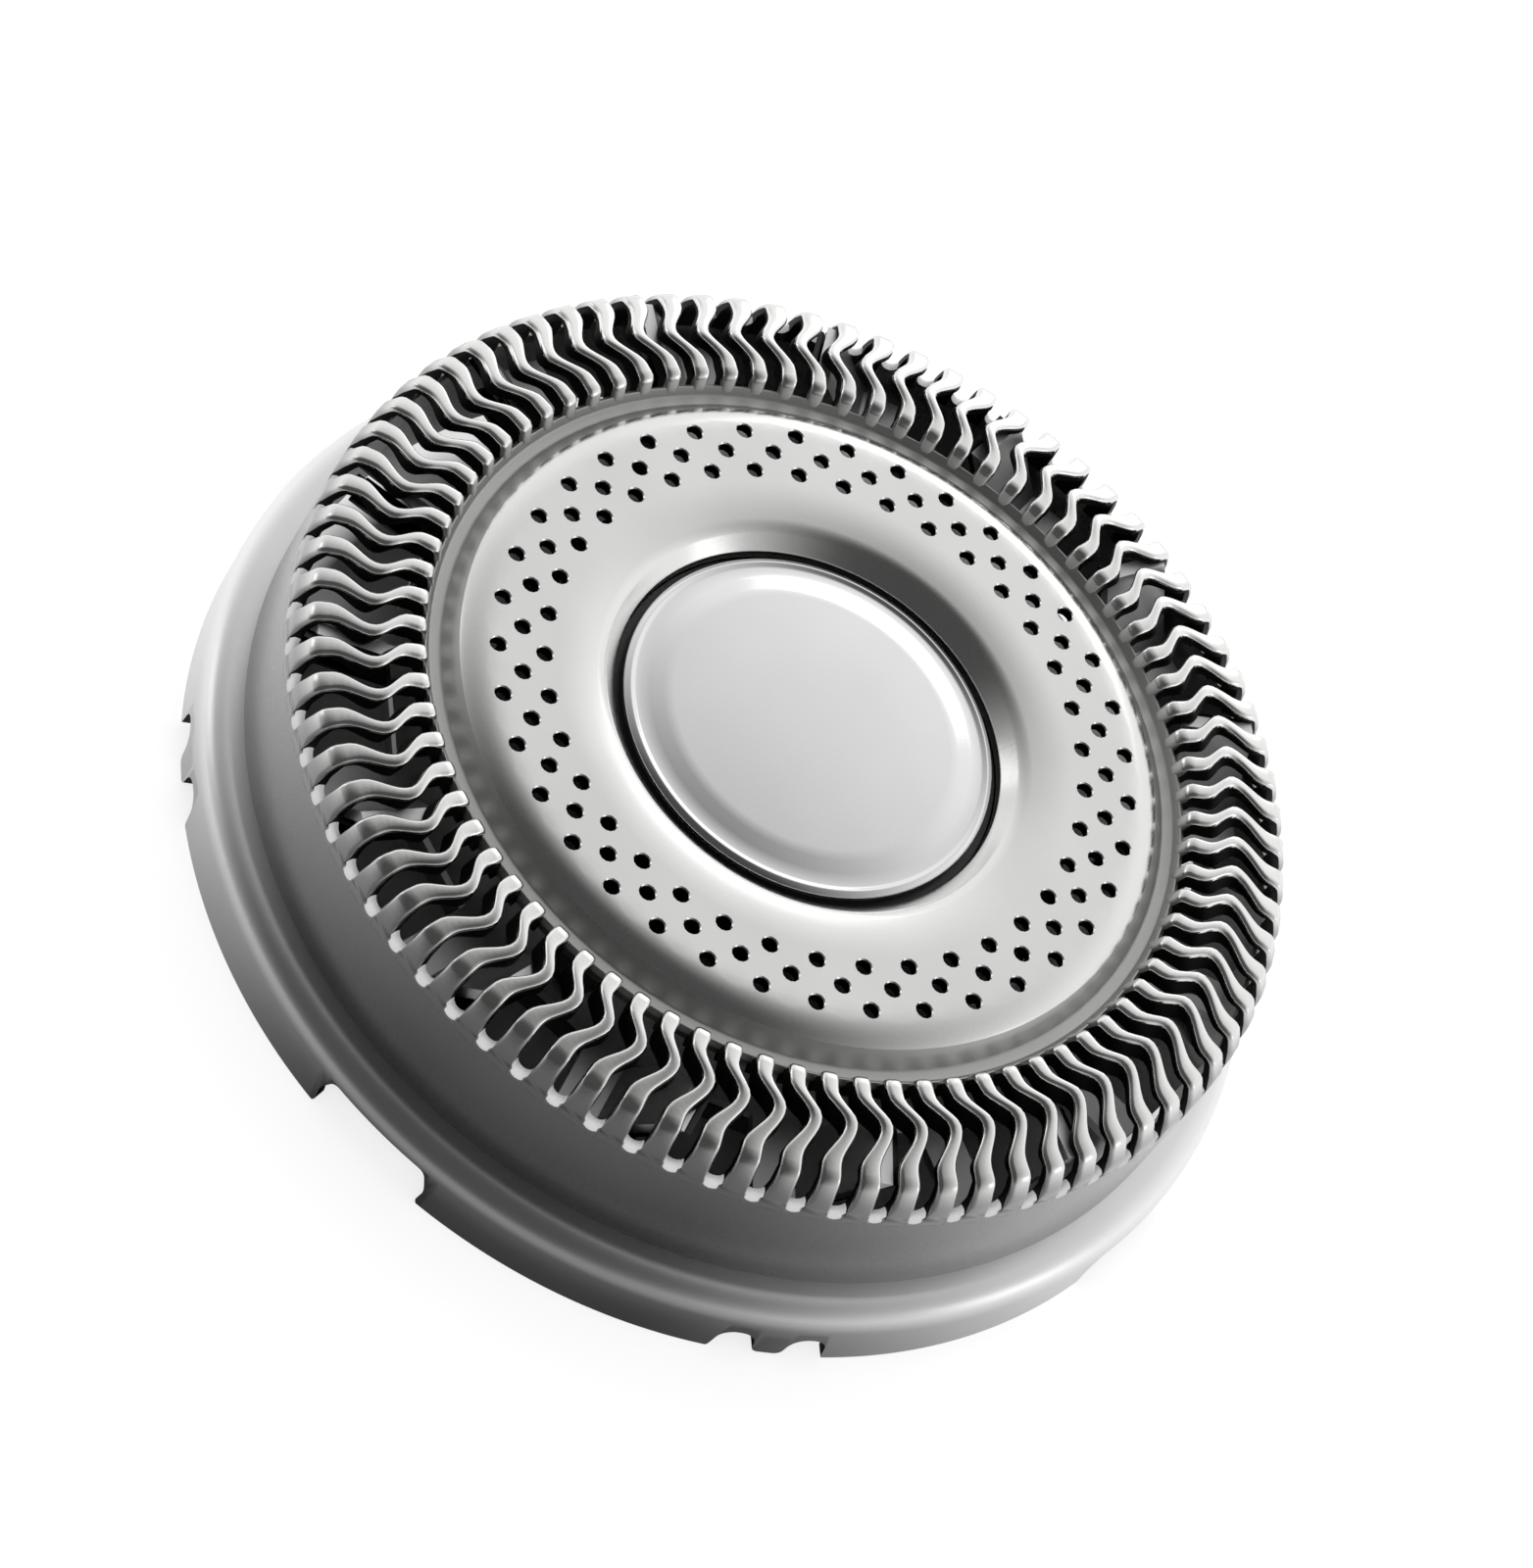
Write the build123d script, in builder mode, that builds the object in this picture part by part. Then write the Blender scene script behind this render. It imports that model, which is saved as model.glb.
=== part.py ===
from build123d import *
from math import atan2, cos, degrees, hypot, radians, sin, tan
import os

# Rotary shaver head. A drawn steel guard with a shaving track of bent slots carries a centre cap on
# a plastic boss, and a cutter with fifteen blades turns on that boss under the track.
# Millimetres. The origin is the centre of the rim plane, +Z points out of the shaving face, and
# -Y is the side of the first wide rim notch.

# Guard: the cup
head_height = 6.15
rim_radius = 13.0
ledge_width = 0.92
ledge_height = 1.76
ledge_bevel = 0.22
sheet = 0.30

# Guard: the raised shaving track, from the wall inwards. It has one flat to each bar
bar_inset = 0.02
shoulder_drop = 0.51
shoulder_run = 1.18
shoulder_bevel = 0.24
crest_drop = 0.07
crest_width = 1.54
bar_depth = 0.45
flank_run = 0.29
groove_width = 0.27
groove_depth = 0.64
step_run = 0.40

# Guard: a bent slot, as distance out from the groove, turn from the slot's own line and angular width
slot_count = 79
slot_first_angle = 90.3
slot_depth_on_wall = 1.38
slot_line = [
    (-0.03, -0.3, 2.15),
    (1.45, 2.75, 2.83),
    (2.35, 0.35, 2.21),
]

# Guard: the perforated face and its centre opening
opening_radius = 4.70
collar_depth = 1.05
recess_width = 1.25
recess_depth = 0.58
recess_steps = 2
face_edge_bevel = 0.16
hole_radius = 0.19
hole_sides = 6
hole_rows = 3
holes_per_row = 37
hole_row_margin = 0.60

# Guard: the key notches in the rim
notch_positions = 4
wide_notch_mouth = 3.17
wide_notch_top = 2.70
wide_notch_height = 1.12
notch_bevel = 0.18
scallop_width = 1.22
scallop_height = 1.16
scallop_spacing = 1.56
tooth_height = 0.44

# Centre cap
cap_gap = 0.20
cap_slope_width = 1.0
cap_drop = 0.34
cap_edge_drop = 0.52
cap_lip_width = 0.14
cap_lip_step = 0.05
cap_edge_thickness = 0.32
cap_stem_radius = 1.0
cap_stem_length = 1.6

# Centre boss
fit_gap = 0.02
boss_flange_overlap = 0.90
boss_flange_thickness = 0.50
spigot_radius = 1.60
spigot_length = 2.0

# Cutter: running clearances to the guard and the boss
blade_gap = 0.05
blade_side_gap = 0.27
bearing_gap = 0.05
hub_gap = 0.25

# Cutter: blade ring
blade_count = 15
blade_first_angle = 22.0
blade_thickness = 0.25
blade_lean = 40.0
blade_height = 1.80
ring_setback = 0.15
ring_width = 2.4
arm_width = 1.1

# Cutter: lifter ring
lifter_sheet = 0.10
lifter_gap = 0.06
lifter_drop = 0.12
lifter_side_gap = 0.10
lifter_arm_width = 0.8

# Cutter: plastic carrier
hub_radius = 3.2
hub_bottom = 0.35
carrier_inset = 0.20
carrier_ring_width = 2.5
carrier_thickness = 0.80
spoke_count = 3
spoke_width = 2.0
spoke_thickness = 1.10
socket_width = 3.0
socket_depth = 1.7
stake_radius = 0.35
stake_head_radius = 0.60
stake_head_height = 0.22
stake_sides = 8

# Radii worked out from the sizes above, from the rim inwards
wall_radius = rim_radius - ledge_width
crest_outer_radius = wall_radius - shoulder_run
crest_inner_radius = crest_outer_radius - crest_width
groove_outer_radius = crest_inner_radius - flank_run
groove_inner_radius = groove_outer_radius - groove_width
face_radius = groove_inner_radius - step_run
recess_radius = opening_radius + recess_width

# Heights worked out from the sizes above
slot_bottom = head_height - slot_depth_on_wall
groove_height = head_height - groove_depth
crest_height = head_height - crest_drop
track_height = crest_height - bar_depth
collar_height = head_height - collar_depth
flange_bottom = collar_height - boss_flange_thickness
spigot_bottom = flange_bottom - spigot_length
cap_lip_height = head_height - cap_edge_drop
cap_bottom = cap_lip_height - cap_edge_thickness
blade_top = track_height - blade_gap
ring_bottom = blade_top - blade_height
carrier_top = ring_bottom - lifter_sheet
ring_top = ring_bottom + blade_thickness


def polar(radius, angle):
    return (radius * cos(radians(angle)), radius * sin(radians(angle)))


def level_thickness(run, rise):
    # The thickness of a sloping stretch of the sheet, measured level
    return sheet * hypot(run, rise) / rise


# Guard profiles: the face inside the groove and the wall outside the slots are round. The track
# between them is bent from flats, and laps into both
groove_middle = (groove_inner_radius + groove_outer_radius) / 2
groove_lap = groove_width / 4
step_inner_shift = level_thickness(step_run, groove_depth) - step_run / groove_depth * sheet
inner_recess_height = collar_height + (head_height - sheet - collar_height) / 2
recess_bend = (recess_width**2 + recess_depth**2) / (2 * recess_depth)
recess_angle = 2 * degrees(atan2(recess_depth, recess_width))
recess_points = []
for step in range(recess_steps + 1):
    angle = radians(recess_angle * (1 - step / recess_steps))
    drop = recess_bend * (1 - cos(angle))
    recess_points.append((recess_radius - recess_bend * sin(angle), head_height - drop))

with BuildSketch(Plane.XZ) as face_profile:
    with BuildLine():
        Polyline(
            (opening_radius, collar_height),
            *recess_points,
            (face_radius, head_height),
            (groove_inner_radius, groove_height),
            (groove_middle, groove_height),
            (groove_middle, groove_height - sheet),
            (groove_inner_radius - step_inner_shift, groove_height - sheet),
            (face_radius - step_inner_shift, head_height - sheet),
            (recess_radius, head_height - sheet),
            (opening_radius + sheet, inner_recess_height),
            (opening_radius + sheet, collar_height),
            close=True,
        )
    make_face()
    face_edge = face_profile.vertices().sort_by_distance((face_radius, head_height))[0]
    chamfer(face_edge, face_edge_bevel)

with BuildSketch(Plane.XZ) as wall_profile:
    with BuildLine():
        Polyline(
            (wall_radius, slot_bottom),
            (wall_radius, ledge_height),
            (rim_radius, ledge_height),
            (rim_radius, 0),
            (rim_radius - sheet, 0),
            (rim_radius - sheet, ledge_height - sheet),
            (wall_radius - sheet, ledge_height - sheet),
            (wall_radius - sheet, slot_bottom),
            close=True,
        )
    make_face()
    ledge_edge = wall_profile.vertices().sort_by_distance((rim_radius, ledge_height))[0]
    chamfer(ledge_edge, ledge_bevel)

flank_rise = crest_height - groove_height
flank_slope = flank_run / flank_rise
flank_inner_foot = groove_outer_radius + level_thickness(flank_run, flank_rise) - flank_slope * sheet
flank_inner_top = flank_inner_foot + flank_slope * (track_height - groove_height + sheet)
bar_outer_radius = wall_radius - bar_inset
bar_inner_radius = wall_radius - sheet + bar_inset

# The track's corners lie in the outer legs of the slots, and its flats are the bars
bar_angle = 360 / slot_count
corner_angle = slot_first_angle + slot_line[-1][1]
flat_angle = corner_angle + bar_angle / 2
flat_plane = Plane(
    origin=(0, 0, 0),
    x_dir=(*polar(1, flat_angle), 0),
    z_dir=(*polar(1, flat_angle - 90), 0),
)
with BuildSketch(flat_plane) as track_profile:
    with BuildLine():
        Polyline(
            (groove_middle - groove_lap, groove_height),
            (groove_outer_radius, groove_height),
            (crest_inner_radius, crest_height),
            (crest_outer_radius, crest_height),
            (bar_outer_radius, head_height - shoulder_drop),
            (bar_outer_radius, slot_bottom - sheet),
            (bar_inner_radius, slot_bottom - sheet),
            (bar_inner_radius, track_height),
            (flank_inner_top, track_height),
            (flank_inner_foot, groove_height - sheet),
            (groove_middle - groove_lap, groove_height - sheet),
            close=True,
        )
    make_face()
    shoulder = (bar_outer_radius, head_height - shoulder_drop)
    chamfer(track_profile.vertices().sort_by_distance(shoulder)[0], shoulder_bevel)

with BuildLine() as track_ring:
    flat_start = polar(bar_outer_radius, flat_angle)
    corner_radius = bar_outer_radius / cos(radians(bar_angle / 2))
    corners = [polar(corner_radius, corner_angle + bar_angle * i) for i in range(1, slot_count + 1)]
    Polyline(flat_start, *corners, flat_start)

# Cutting tools for the guard, one of each
with BuildPart() as slot_tool:
    with BuildSketch(Plane.XY.offset(slot_bottom)):
        with BuildLine():
            outer_turn, outer_width = slot_line[-1][1:]
            slot_end = (rim_radius - groove_outer_radius, outer_turn, outer_width)
            left_edge = []
            right_edge = []
            for distance, turn, width in [*slot_line, slot_end]:
                left_edge.append(polar(groove_outer_radius + distance, turn + width / 2))
                right_edge.append(polar(groove_outer_radius + distance, turn - width / 2))
            Polyline(*left_edge, *reversed(right_edge), close=True)
        make_face()
    extrude(amount=slot_depth_on_wall)

notch_start = wall_radius - sheet
notch_reach = rim_radius - notch_start + sheet
with BuildPart() as wide_notch_tool:
    with BuildSketch(Plane.YZ.offset(notch_start)) as wide_notch:
        with BuildLine():
            Polyline(
                (-wide_notch_mouth / 2, 0),
                (-wide_notch_top / 2, wide_notch_height),
                (wide_notch_top / 2, wide_notch_height),
                (wide_notch_mouth / 2, 0),
                close=True,
            )
        make_face()
        chamfer(wide_notch.vertices().group_by(Axis.Y)[-1], notch_bevel)
    extrude(amount=notch_reach)

with BuildPart() as double_notch_tool:
    with BuildSketch(Plane.YZ.offset(notch_start)) as double_notch:
        with GridLocations(scallop_spacing, 0, 2, 1):
            with Locations((0, scallop_height / 2)):
                Rectangle(scallop_width, scallop_height)
        chamfer(double_notch.vertices().group_by(Axis.Y)[-1], notch_bevel)
        with Locations((0, tooth_height / 2)):
            Rectangle(scallop_spacing, tooth_height)
    extrude(amount=notch_reach)

# Guard: one drawn, perforated and slotted cup
with BuildPart() as guard:
    add(face_profile.sketch)
    add(wall_profile.sketch)
    revolve(axis=Axis.Z)
    add(track_profile.sketch)
    sweep(path=track_ring.wire(), transition=Transition.RIGHT)
    with BuildSketch(Plane.XY.offset(head_height)):
        first_row = recess_radius + hole_row_margin
        row_spacing = (face_radius - face_edge_bevel - hole_row_margin - first_row) / (hole_rows - 1)
        for row in range(hole_rows):
            stagger = 180 / holes_per_row * ((row + 1) % 2)
            with PolarLocations(first_row + row_spacing * row, holes_per_row, start_angle=90 + stagger):
                RegularPolygon(hole_radius, hole_sides)
    extrude(amount=-2 * sheet, mode=Mode.SUBTRACT)
    with PolarLocations(0, slot_count, start_angle=slot_first_angle):
        add(slot_tool.part, mode=Mode.SUBTRACT)
    with PolarLocations(0, notch_positions, start_angle=-90):
        add(wide_notch_tool.part, mode=Mode.SUBTRACT)
    with PolarLocations(0, notch_positions, start_angle=-45):
        add(double_notch_tool.part, mode=Mode.SUBTRACT)

# Centre cap: flat top, sloping edge, thin lip, and the stem that is pressed into the boss
cap_radius = opening_radius - cap_gap
cap_slope_foot = cap_radius - cap_lip_width
with BuildPart() as centre_cap:
    with BuildSketch(Plane.XZ):
        with BuildLine():
            Polyline(
                (0, head_height - cap_drop),
                (cap_radius - cap_slope_width, head_height - cap_drop),
                (cap_slope_foot, cap_lip_height + cap_lip_step),
                (cap_radius, cap_lip_height),
                (cap_radius, cap_bottom),
                (cap_stem_radius, cap_bottom),
                (cap_stem_radius, cap_bottom - cap_stem_length),
                (0, cap_bottom - cap_stem_length),
                close=True,
            )
        make_face()
    revolve(axis=Axis.Z)

# Centre boss: backs the opening, takes the cap's stem and carries the cutter on its spigot
boss_bore_radius = cap_stem_radius + fit_gap
boss_radius = opening_radius - fit_gap
boss_flange_radius = opening_radius + boss_flange_overlap
with BuildPart() as centre_boss:
    with BuildSketch(Plane.XZ):
        with BuildLine():
            Polyline(
                (boss_bore_radius, cap_bottom),
                (boss_radius, cap_bottom),
                (boss_radius, collar_height),
                (boss_flange_radius, collar_height),
                (boss_flange_radius, flange_bottom),
                (spigot_radius, flange_bottom),
                (spigot_radius, spigot_bottom),
                (boss_bore_radius, spigot_bottom),
                close=True,
            )
        make_face()
    revolve(axis=Axis.Z)


def leaning_strip(start, bottom, top, level_width):
    # Side view of a bent-up strip, which leans in the direction that the cutter turns
    rise = (top - bottom) * tan(radians(blade_lean))
    return [
        (start, bottom),
        (start + level_width, bottom),
        (start + level_width + rise, top),
        (start + rise, top),
    ]


# Blade ring: one stamping, a flat ring with arms whose front edges are bent up as blades. The ring
# is straight between its arms, inside and out
blade_inner_radius = flank_inner_top + blade_side_gap
blade_outer_radius = wall_radius - sheet - blade_side_gap
blade_width = blade_outer_radius - blade_inner_radius
blade_level = blade_thickness / cos(radians(blade_lean))
ring_outer_radius = blade_inner_radius - ring_setback
ring_inner_radius = ring_outer_radius - ring_width
stake_circle_radius = (ring_inner_radius + ring_outer_radius) / 2
arm_length = blade_outer_radius - stake_circle_radius
spoke_angle = blade_first_angle + 180 / blade_count
ring_turn = blade_first_angle
with BuildPart() as blade_arm:
    with BuildSketch(Plane.YZ.offset(blade_inner_radius)):
        with BuildLine():
            Polyline(*leaning_strip(0, ring_bottom, blade_top, blade_level), close=True)
        make_face()
    extrude(amount=blade_width)
    with BuildSketch(Plane.XY.offset(ring_bottom)):
        with Locations((stake_circle_radius, blade_level)):
            Rectangle(arm_length, arm_width, align=(Align.MIN, Align.MAX))
    extrude(amount=blade_thickness)

with BuildPart() as blade_ring:
    with BuildSketch(Plane.XY.offset(ring_bottom)):
        RegularPolygon(ring_outer_radius, blade_count, rotation=ring_turn)
        RegularPolygon(ring_inner_radius, blade_count, rotation=ring_turn, mode=Mode.SUBTRACT)
        with PolarLocations(stake_circle_radius, spoke_count, start_angle=spoke_angle):
            RegularPolygon(stake_radius + fit_gap, stake_sides, mode=Mode.SUBTRACT)
    extrude(amount=blade_thickness)
    with PolarLocations(0, blade_count, start_angle=blade_first_angle):
        add(blade_arm.part)

# Lifter ring: thin spring steel under the blade ring, with one leaf in front of each blade
lifter_start = blade_level + lifter_gap
lifter_level = lifter_sheet / cos(radians(blade_lean))
with BuildPart() as lifter_arm:
    with BuildSketch(Plane.YZ.offset(blade_inner_radius + lifter_side_gap)):
        with BuildLine():
            lifter_side = leaning_strip(
                lifter_start, carrier_top, blade_top - lifter_drop, lifter_level
            )
            Polyline(*lifter_side, close=True)
        make_face()
    extrude(amount=blade_width - 2 * lifter_side_gap)
    with BuildSketch(Plane.XY.offset(carrier_top)):
        with Locations((stake_circle_radius, lifter_start)):
            Rectangle(arm_length - lifter_side_gap, lifter_arm_width, align=(Align.MIN, Align.MIN))
    extrude(amount=lifter_sheet)

with BuildPart() as lifter_ring:
    with BuildSketch(Plane.XY.offset(carrier_top)):
        RegularPolygon(ring_outer_radius, blade_count, rotation=ring_turn)
        RegularPolygon(ring_inner_radius, blade_count, rotation=ring_turn, mode=Mode.SUBTRACT)
        with PolarLocations(stake_circle_radius, spoke_count, start_angle=spoke_angle):
            RegularPolygon(stake_radius + fit_gap, stake_sides, mode=Mode.SUBTRACT)
    extrude(amount=lifter_sheet)
    with PolarLocations(0, blade_count, start_angle=blade_first_angle):
        add(lifter_arm.part)

# Carrier: hub with the drive socket and the bearing bore, spokes, ring and riveted pins
hub_top = flange_bottom - hub_gap
bearing_bottom = spigot_bottom - bearing_gap
carrier_outer_radius = ring_outer_radius - carrier_inset
carrier_inner_radius = carrier_outer_radius - carrier_ring_width
with BuildPart() as cutter_carrier:
    with BuildSketch(Plane.XY.offset(carrier_top - carrier_thickness)):
        RegularPolygon(carrier_outer_radius, blade_count, rotation=ring_turn)
        RegularPolygon(carrier_inner_radius, blade_count, rotation=ring_turn, mode=Mode.SUBTRACT)
    extrude(amount=carrier_thickness)
    with BuildSketch(Plane.XY.offset(carrier_top - spoke_thickness)):
        with PolarLocations(0, spoke_count, start_angle=spoke_angle):
            Rectangle(carrier_inner_radius + fit_gap, spoke_width, align=(Align.MIN, Align.CENTER))
    extrude(amount=spoke_thickness)
    with BuildSketch(Plane.XY.offset(hub_bottom)):
        Circle(hub_radius)
    extrude(amount=hub_top - hub_bottom)
    with BuildSketch(Plane.XY.offset(bearing_bottom)):
        Circle(spigot_radius + bearing_gap)
    extrude(amount=hub_top - bearing_bottom, mode=Mode.SUBTRACT)
    with BuildSketch(Plane.XY.offset(hub_bottom)):
        Rectangle(socket_width, socket_width)
    extrude(amount=socket_depth, mode=Mode.SUBTRACT)
    with BuildSketch(Plane.XY.offset(carrier_top)):
        with PolarLocations(stake_circle_radius, spoke_count, start_angle=spoke_angle):
            RegularPolygon(stake_radius, stake_sides)
    extrude(amount=ring_top - carrier_top)
    with BuildSketch(Plane.XY.offset(ring_top)):
        with PolarLocations(stake_circle_radius, spoke_count, start_angle=spoke_angle):
            RegularPolygon(stake_head_radius, stake_sides)
    extrude(amount=stake_head_height)

guard.part.label = "guard"
centre_cap.part.label = "centre_cap"
centre_boss.part.label = "centre_boss"
blade_ring.part.label = "blade_ring"
lifter_ring.part.label = "lifter_ring"
cutter_carrier.part.label = "cutter_carrier"

os.makedirs("parts", exist_ok=True)
export_step(guard.part, "parts/guard.step")
export_step(centre_cap.part, "parts/centre_cap.step")
export_step(centre_boss.part, "parts/centre_boss.step")
export_step(blade_ring.part, "parts/blade_ring.step")
export_step(lifter_ring.part, "parts/lifter_ring.step")
export_step(cutter_carrier.part, "parts/cutter_carrier.step")
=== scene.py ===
# %% [markdown]
# # A rotary shaver head
# The real object is a drawn steel cup, taken to be 26 mm across. Its face is perforated, and round the
# face runs a raised track of thin bars with bent slots between them. A bright cap closes the centre,
# and a cutter with leaning blades turns under the track.
# The CAD model brings the right sizes and the motion. This script gives the pieces that show their
# fine form and their metals, then sets up a plain studio round them.

from math import atan2, cos, degrees, hypot, pi, radians, sin, tan

import bmesh
import bpy
from mathutils import Matrix, Vector


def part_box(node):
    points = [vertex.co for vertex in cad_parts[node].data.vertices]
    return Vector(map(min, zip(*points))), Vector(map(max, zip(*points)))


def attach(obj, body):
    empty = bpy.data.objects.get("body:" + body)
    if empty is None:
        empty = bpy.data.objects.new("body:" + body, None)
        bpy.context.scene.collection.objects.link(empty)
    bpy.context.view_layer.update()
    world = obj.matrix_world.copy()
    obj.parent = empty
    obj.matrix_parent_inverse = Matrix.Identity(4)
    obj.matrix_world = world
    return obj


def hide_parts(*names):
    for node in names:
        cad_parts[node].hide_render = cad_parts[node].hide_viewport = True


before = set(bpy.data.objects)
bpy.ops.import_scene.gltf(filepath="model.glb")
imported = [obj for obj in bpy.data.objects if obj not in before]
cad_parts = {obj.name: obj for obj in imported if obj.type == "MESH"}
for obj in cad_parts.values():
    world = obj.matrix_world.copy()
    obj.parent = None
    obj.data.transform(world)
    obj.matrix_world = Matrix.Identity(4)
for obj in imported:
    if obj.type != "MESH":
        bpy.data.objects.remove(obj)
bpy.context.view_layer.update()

# %% [markdown]
# ## Sizes
# Lengths here are in millimetres, as on a workshop drawing, and one factor turns them to metres when a mesh
# is made. The heights are counted from the rim, on which the head stands. The main sizes are read from the
# boxes of the CAD model, so that both stay together, and the finer ones follow.

# %% Main sizes from the CAD boxes
MM = 0.001
guard_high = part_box("guard")[1]
cap_low, cap_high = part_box("centre_cap")
face_height = guard_high.z / MM
rim_radius = round(guard_high.x / MM, 2)
cap_radius = cap_high.x / MM
cap_top = cap_high.z / MM
cap_floor = cap_low.z / MM
print("face height", face_height, "rim radius", rim_radius, "cap radius", cap_radius)

# %% Sizes of the guard's sheet
sheet = 0.30

# The centre opening with its turned-in collar, and the recess round it
opening_radius = 4.70
collar_depth = 1.05
recess_edge_radius = 5.75

# The perforated face, which rounds off towards its border
row_radii = (6.57, 7.115, 7.66)
row_height = 0.545
holes_per_row = 37
face_turn_radius = 7.73
face_round = 1.15
face_end_radius = 8.55

# The groove, the wall and the ledge
groove_inner_radius = 8.80
groove_outer_radius = 9.07
slot_inner_end = 9.20
groove_height = face_height - 0.645
wall_radius = 12.08
ledge_height = 1.76
print("rows of holes at", row_radii, "wall at", wall_radius, "ledge at", ledge_height)

# %% [markdown]
# ## Camera
# The fit to the photograph says that it was taken from about 130 mm, looking down at 48 degrees, with
# the camera rolled so that the head leans to the right. A camera that is near shows the far side
# smaller, and only the true distance gives that. The camera keeps its fitted place, is aimed at the
# middle of this one head, and uses a longer lens, so that the head fills the frame.

# %% Place the camera
def put_in_scene(made):
    """Links a new object to the scene and returns it."""
    bpy.context.scene.collection.objects.link(made)
    return made


# The fit to the photograph gives angles, and distances in its pixels
view_tilt = radians(42.26)
view_turn = radians(46.36)
head_turn = radians(1.0)
photo_scale = 0.0485
camera_distance = 2639 * photo_scale
side_shift = 246.3 * photo_scale
up_shift = -147.8 * photo_scale

right = Vector((sin(view_turn), cos(view_tilt) * cos(view_turn), sin(view_tilt) * cos(view_turn)))
up = Vector((-cos(view_turn), cos(view_tilt) * sin(view_turn), sin(view_tilt) * sin(view_turn)))
back = Vector((0, -sin(view_tilt), cos(view_tilt)))
spin = Matrix.Rotation(head_turn, 3, "Z")
right, up, back = (spin @ axis for axis in (right, up, back))
camera_place = Vector((0, 0, face_height)) + right * side_shift + up * up_shift + back * camera_distance

aim = Vector((0, 0, face_height / 2))
look_back = (camera_place - aim).normalized()
look_right = up.cross(look_back).normalized()
look_up = look_back.cross(look_right)
turn = Matrix((look_right, look_up, look_back)).transposed().to_4x4()

camera = put_in_scene(bpy.data.objects.new("studio_camera", bpy.data.cameras.new("studio_camera")))
camera.matrix_world = Matrix.Translation(camera_place * MM) @ turn
camera.data.lens = 132
camera.data.clip_start = 0.005
camera.data.clip_end = 10
bpy.context.scene.camera = camera
print("camera is", round((camera_place - aim).length, 1), "mm from the head")

# %% [markdown]
# ## Materials
# The guard is stainless steel, drawn, slotted and then polished. Polished steel mirrors its
# surroundings, and fine polishing lines blur the mirror a little. A metal needs metallic 1, a grey
# base colour and a low roughness. The pattern comes from noise at the size of real polishing marks.

# %% Helpers for colours and nodes
def colour(hex_code):
    """An sRGB hex colour as the linear values that a shader takes."""
    parts = [int(hex_code[i : i + 2], 16) / 255 for i in (1, 3, 5)]
    linear = [p / 12.92 if p <= 0.04045 else ((p + 0.055) / 1.055) ** 2.4 for p in parts]
    return (*linear, 1)


def add_node(tree, kind, settings=None, inputs=None):
    """Adds one node, sets its properties, and fills or links its inputs."""
    made = tree.nodes.new(kind)
    for name, value in (settings or {}).items():
        setattr(made, name, value)
    for name, value in (inputs or {}).items():
        if isinstance(value, bpy.types.NodeSocket):
            tree.links.new(value, made.inputs[name])
        else:
            made.inputs[name].default_value = value
    return made


def new_material(name, **surface):
    """A material with one surface shader. Returns it with its tree and that shader."""
    material = bpy.data.materials.new(name)
    material.use_nodes = True
    tree = material.node_tree
    shader = tree.nodes["Principled BSDF"]
    for socket, value in surface.items():
        shader.inputs[socket.replace("_", " ").title()].default_value = value
    return material, tree, shader


# %% Stainless steel, drawn and polished
patch_size = 3.0
patch_shade = 0.88
# Painted shade: the wall's darker grey, which the feet of the bars also take
wall_painted_shade_grey = "#a9a9a9"


def polished_steel(name, base, roughness, line_spacing, metallic=1.0):
    """Steel with faint polishing marks, line_spacing millimetres apart."""
    material, tree, shader = new_material(name, metallic=metallic)
    coords = add_node(tree, "ShaderNodeTexCoord")
    marks = add_node(
        tree,
        "ShaderNodeTexNoise",
        {"noise_dimensions": "3D"},
        {"Vector": coords.outputs["Object"], "Scale": 1 / (line_spacing * MM), "Detail": 3.0},
    )
    cloud = add_node(
        tree,
        "ShaderNodeTexNoise",
        {"noise_dimensions": "3D"},
        {"Vector": coords.outputs["Object"], "Scale": 1 / (patch_size * MM), "Detail": 2.0},
    )
    spread = add_node(
        tree,
        "ShaderNodeMapRange",
        {},
        {"Value": marks.outputs["Fac"], "To Min": roughness - 0.04, "To Max": roughness + 0.06},
    )
    tree.links.new(spread.outputs["Result"], shader.inputs["Roughness"])
    light = colour(base)
    dark = [patch_shade * part for part in light[:3]] + [1]
    tint = add_node(
        tree,
        "ShaderNodeMix",
        {"data_type": "RGBA"},
        {"Factor": cloud.outputs["Fac"], 6: dark, 7: light},
    )
    tree.links.new(tint.outputs[2], shader.inputs["Base Color"])
    bump = add_node(
        tree,
        "ShaderNodeBump",
        {},
        {"Height": marks.outputs["Fac"], "Strength": 0.08, "Distance": 0.01 * MM},
    )
    tree.links.new(bump.outputs["Normal"], shader.inputs["Normal"])
    return material


# The polished face mirrors the room, with edges that are a little soft
face_steel = polished_steel("stainless_steel_polished", "#eeeeec", 0.20, 0.08)

# The bars are the glossiest part of the guard, and show as thin bright lines
bar_steel = polished_steel("stainless_steel_polished_bars", "#f4f4f2", 0.16, 0.08)

# No wheel reaches the groove. It stays as drawn, and shows as a dull grey ring without glints
groove_steel = polished_steel("stainless_steel_as_drawn", "#c4c4c2", 0.42, 0.08)

# The wall's darker grey is painted shade, and it is less polished, so that it shows slow changes from light
# to dark
wall_painted_shade_steel = polished_steel("stainless_steel_wall_painted_shade", wall_painted_shade_grey, 0.28, 0.08)

# The satin skirt spreads the light, and is nearly white where it faces a bright side
skirt_steel = polished_steel("stainless_steel_satin", "#f0f0f0", 0.30, 0.08)

# Painted shade: the sides of the slots, the bores of the holes and the punched edges are a nearly black, dull
# steel
dark_painted_shade_steel = polished_steel("stainless_steel_dark_painted_shade", "#2c2c2c", 0.60, 0.05)
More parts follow.
